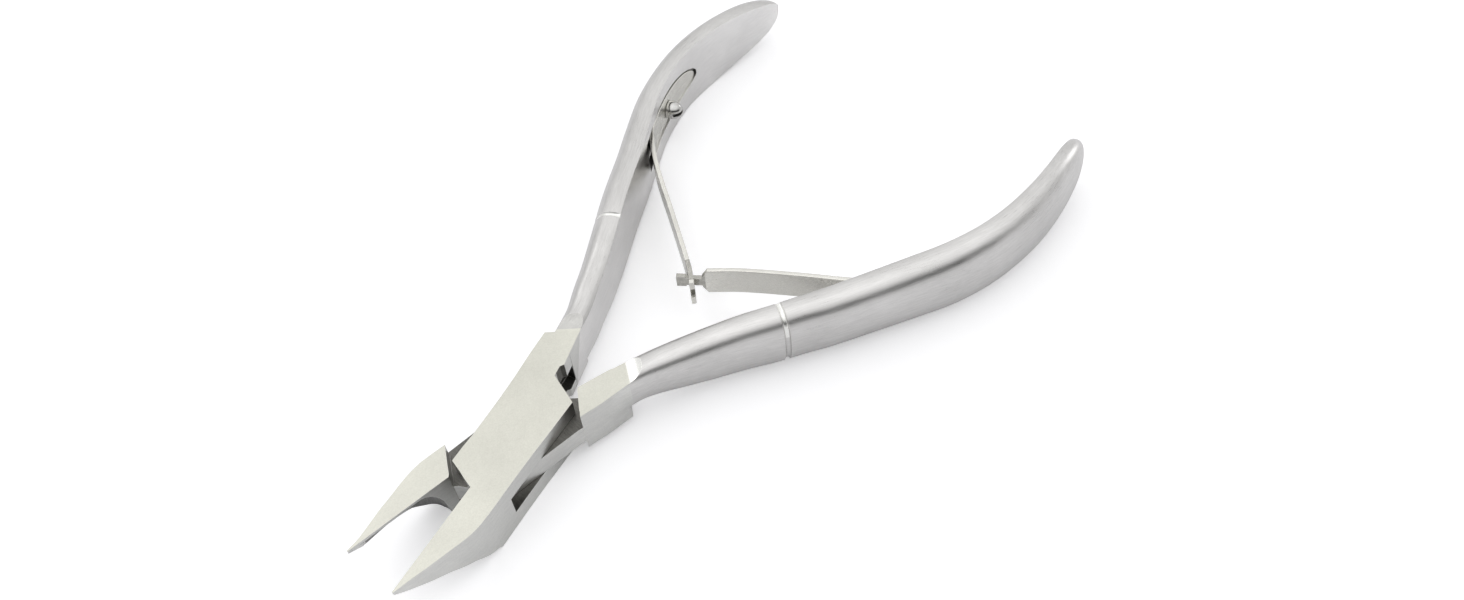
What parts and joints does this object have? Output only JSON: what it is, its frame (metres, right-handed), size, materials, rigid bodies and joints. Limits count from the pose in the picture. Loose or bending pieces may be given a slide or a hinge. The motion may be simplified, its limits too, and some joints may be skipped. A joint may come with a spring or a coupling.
{
  "type": "cuticle nipper",
  "caption": "Box-joint cuticle nipper with tapered hollow-ground jaws, bowed D-section handles and two interlocked leaf springs held by screws.",
  "frame": {"origin": "on the pivot axis, at the flat underside of the box joint", "axes": "+Z along the pivot axis, up through the flat-ground side of the jaws; +Y towards the handle ends, jaws towards -Y; +X towards the inner half's handle"},
  "size_m": [0.0779, 0.1306, 0.0125],
  "materials": {
    "satin_steel": "satin: flat-ground box and jaws, brushed handles",
    "spring_steel": "fine ground strip, bright edges",
    "polished_steel": "polished dome heads"
  },
  "bodies": {
    "outer_half": {"outer_half": "satin_steel", "pivot_pin": "satin_steel", "outer_spring_screw": "polished_steel"},
    "inner_half": {"inner_half": "satin_steel", "inner_spring_screw": "polished_steel"},
    "outer_spring": {"outer_spring": "spring_steel"},
    "inner_spring": {"inner_spring": "spring_steel"}
  },
  "joints": [
    {"name": "jaw_pivot", "type": "hinge", "parent": "outer_half", "child": "inner_half", "pos_m": [0, 0, 0], "axis": [0, 0, 1], "range_deg": [-2, 19], "stiffness_Nm_per_rad": 2},
    {"name": "outer_spring_flex", "type": "hinge", "parent": "outer_half", "child": "outer_spring", "pos_m": [-0.02515, 0.0583, 0.00615], "axis": [0, 0, 1], "range_deg": [-19, 3], "deforming": ["outer_spring"]},
    {"name": "inner_spring_flex", "type": "hinge", "parent": "inner_half", "child": "inner_spring", "pos_m": [0.02665, 0.0563, 0.00615], "axis": [0, 0, 1], "range_deg": [-3, 19], "deforming": ["inner_spring"]}
  ],
  "couplings": [
    {"joint": "outer_spring_flex", "follows": "jaw_pivot", "ratio": -0.804},
    {"joint": "inner_spring_flex", "follows": "jaw_pivot", "ratio": 0.7605}
  ]
}
